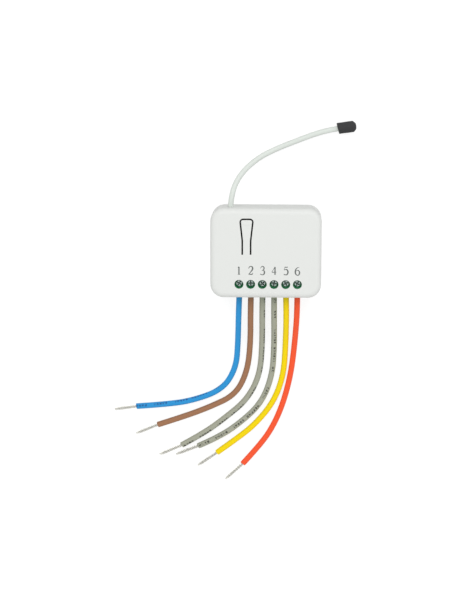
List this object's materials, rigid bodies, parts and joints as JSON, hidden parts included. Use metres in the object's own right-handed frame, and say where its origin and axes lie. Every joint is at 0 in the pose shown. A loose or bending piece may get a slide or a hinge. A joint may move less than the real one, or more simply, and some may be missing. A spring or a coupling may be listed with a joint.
{
  "type": "shutter control module",
  "caption": "Flat rounded in-wall radio module for a roller shutter, with stripped coloured wire leads, screw clamps, a press tab and an aerial wire.",
  "frame": {"origin": "middle of the flat back face, on the surface that the module lies on", "axes": "+X along the row of screws, towards the red wire; +Y towards the aerial; +Z out of the front face"},
  "size_m": [0.1071, 0.1628, 0.0185],
  "materials": {
    "white_shell": "fine matt moulded plastic",
    "block_green": "satin moulded plastic",
    "screw_steel": "zinc-plated steel",
    "clamp_steel": "zinc-plated pressed steel",
    "contact_brass": "tinned brass",
    "tinned_copper": "tinned copper strands",
    "blue_sleeve": "soft extruded plastic",
    "brown_sleeve": "soft extruded plastic",
    "grey_sleeve": "soft extruded plastic",
    "yellow_sleeve": "soft extruded plastic",
    "red_sleeve": "soft extruded plastic",
    "antenna_sleeve": "soft extruded plastic",
    "black_rubber": "matt rubber",
    "board_green": "solder-masked glass-fibre board",
    "black_plastic": "moulded black plastic",
    "shield_tin": "tin-plated steel",
    "iron": "soft iron",
    "ferrite": "sintered ferrite",
    "coil_copper": "enamelled copper wire, taped",
    "relay_blue": "moulded plastic case",
    "capacitor_sleeve": "shrunk plastic sleeve",
    "varistor_blue": "dipped coating",
    "fuse_green": "lacquered body"
  },
  "bodies": {
    "module": {"antenna_cap": "black_rubber", "antenna_clip": "shield_tin", "antenna_wire": "antenna_sleeve", "back_cover": "white_shell", "blue_conductor": "tinned_copper", "blue_wire": "blue_sleeve", "board_headers": "black_plastic", "brown_conductor": "tinned_copper", "brown_wire": "brown_sleeve", "contact_bars": "contact_brass", "front_cover": "white_shell", "fuse_resistor": "fuse_green", "grey_conductor_1": "tinned_copper", "grey_conductor_2": "tinned_copper", "grey_wire_1": "grey_sleeve", "grey_wire_2": "grey_sleeve", "main_board": "board_green", "mains_capacitor": "capacitor_sleeve", "output_capacitor": "capacitor_sleeve", "radio_board": "board_green", "radio_chip": "black_plastic", "radio_shield": "shield_tin", "rectifier_bridge": "black_plastic", "red_conductor": "tinned_copper", "red_wire": "red_sleeve", "relay_down_base": "black_plastic", "relay_down_case": "relay_blue", "relay_down_coil": "coil_copper", "relay_down_contacts": "contact_brass", "relay_down_yoke": "iron", "relay_up_base": "black_plastic", "relay_up_case": "relay_blue", "relay_up_coil": "coil_copper", "relay_up_contacts": "contact_brass", "relay_up_yoke": "iron", "supply_chip": "black_plastic", "switch_body": "black_plastic", "terminal_block": "block_green", "transformer_core": "ferrite", "transformer_winding": "coil_copper", "varistor": "varistor_blue", "yellow_conductor": "tinned_copper", "yellow_wire": "yellow_sleeve"},
    "press_tab": {"press_tab": "white_shell"},
    "switch_plunger": {"switch_plunger": "white_shell"},
    "relay_down_armature": {"relay_down_armature": "iron"},
    "relay_up_armature": {"relay_up_armature": "iron"},
    "terminal_screw_1": {"terminal_screw_1": "screw_steel"},
    "clamp_cage_1": {"clamp_cage_1": "clamp_steel"},
    "terminal_screw_2": {"terminal_screw_2": "screw_steel"},
    "clamp_cage_2": {"clamp_cage_2": "clamp_steel"},
    "terminal_screw_3": {"terminal_screw_3": "screw_steel"},
    "clamp_cage_3": {"clamp_cage_3": "clamp_steel"},
    "terminal_screw_4": {"terminal_screw_4": "screw_steel"},
    "clamp_cage_4": {"clamp_cage_4": "clamp_steel"},
    "terminal_screw_5": {"terminal_screw_5": "screw_steel"},
    "clamp_cage_5": {"clamp_cage_5": "clamp_steel"},
    "terminal_screw_6": {"terminal_screw_6": "screw_steel"},
    "clamp_cage_6": {"clamp_cage_6": "clamp_steel"}
  },
  "joints": [
    {"name": "tab_press", "type": "hinge", "parent": "module", "child": "press_tab", "pos_m": [-0.00834, -0.0005, 0.0176], "axis": [-1, 0, 0], "range_deg": [0, 1.08], "stiffness_Nm_per_rad": 0.7},
    {"name": "button_press", "type": "slide", "parent": "module", "child": "switch_plunger", "axis": [0, 0, -1], "range_m": [0, 0.00026]},
    {"name": "relay_down_pull_in", "type": "hinge", "parent": "module", "child": "relay_down_armature", "pos_m": [0.01435, -0.00417, 0.0138], "axis": [0, 1, 0], "range_deg": [0, 4], "stiffness_Nm_per_rad": 0.01},
    {"name": "relay_up_pull_in", "type": "hinge", "parent": "module", "child": "relay_up_armature", "pos_m": [0.01435, 0.00617, 0.0138], "axis": [0, 1, 0], "range_deg": [0, 4], "stiffness_Nm_per_rad": 0.01},
    {"name": "screw_turn_1", "type": "hinge", "parent": "module", "child": "terminal_screw_1", "pos_m": [-0.01157, -0.0135, 0.014], "axis": [0, 0, 1], "range_deg": [0, 1440]},
    {"name": "cage_drop_1", "type": "slide", "parent": "module", "child": "clamp_cage_1", "axis": [0, 0, 1], "range_m": [-0.0018, 0]},
    {"name": "screw_turn_2", "type": "hinge", "parent": "module", "child": "terminal_screw_2", "pos_m": [-0.00649, -0.0135, 0.014], "axis": [0, 0, 1], "range_deg": [0, 1440]},
    {"name": "cage_drop_2", "type": "slide", "parent": "module", "child": "clamp_cage_2", "axis": [0, 0, 1], "range_m": [-0.0018, 0]},
    {"name": "screw_turn_3", "type": "hinge", "parent": "module", "child": "terminal_screw_3", "pos_m": [-0.00141, -0.0135, 0.014], "axis": [0, 0, 1], "range_deg": [0, 1440]},
    {"name": "cage_drop_3", "type": "slide", "parent": "module", "child": "clamp_cage_3", "axis": [0, 0, 1], "range_m": [-0.0018, 0]},
    {"name": "screw_turn_4", "type": "hinge", "parent": "module", "child": "terminal_screw_4", "pos_m": [0.00367, -0.0135, 0.014], "axis": [0, 0, 1], "range_deg": [0, 1440]},
    {"name": "cage_drop_4", "type": "slide", "parent": "module", "child": "clamp_cage_4", "axis": [0, 0, 1], "range_m": [-0.0018, 0]},
    {"name": "screw_turn_5", "type": "hinge", "parent": "module", "child": "terminal_screw_5", "pos_m": [0.00875, -0.0135, 0.014], "axis": [0, 0, 1], "range_deg": [0, 1440]},
    {"name": "cage_drop_5", "type": "slide", "parent": "module", "child": "clamp_cage_5", "axis": [0, 0, 1], "range_m": [-0.0018, 0]},
    {"name": "screw_turn_6", "type": "hinge", "parent": "module", "child": "terminal_screw_6", "pos_m": [0.01383, -0.0135, 0.014], "axis": [0, 0, 1], "range_deg": [0, 1440]},
    {"name": "cage_drop_6", "type": "slide", "parent": "module", "child": "clamp_cage_6", "axis": [0, 0, 1], "range_m": [-0.0018, 0]}
  ],
  "couplings": [
    {"joint": "button_press", "follows": "tab_press", "m_per_rad": 0.0135},
    {"joint": "screw_turn_1", "follows": "cage_drop_1", "rad_per_m": -13963},
    {"joint": "screw_turn_2", "follows": "cage_drop_2", "rad_per_m": -13963},
    {"joint": "screw_turn_3", "follows": "cage_drop_3", "rad_per_m": -13963},
    {"joint": "screw_turn_4", "follows": "cage_drop_4", "rad_per_m": -13963},
    {"joint": "screw_turn_5", "follows": "cage_drop_5", "rad_per_m": -13963},
    {"joint": "screw_turn_6", "follows": "cage_drop_6", "rad_per_m": -13963}
  ]
}
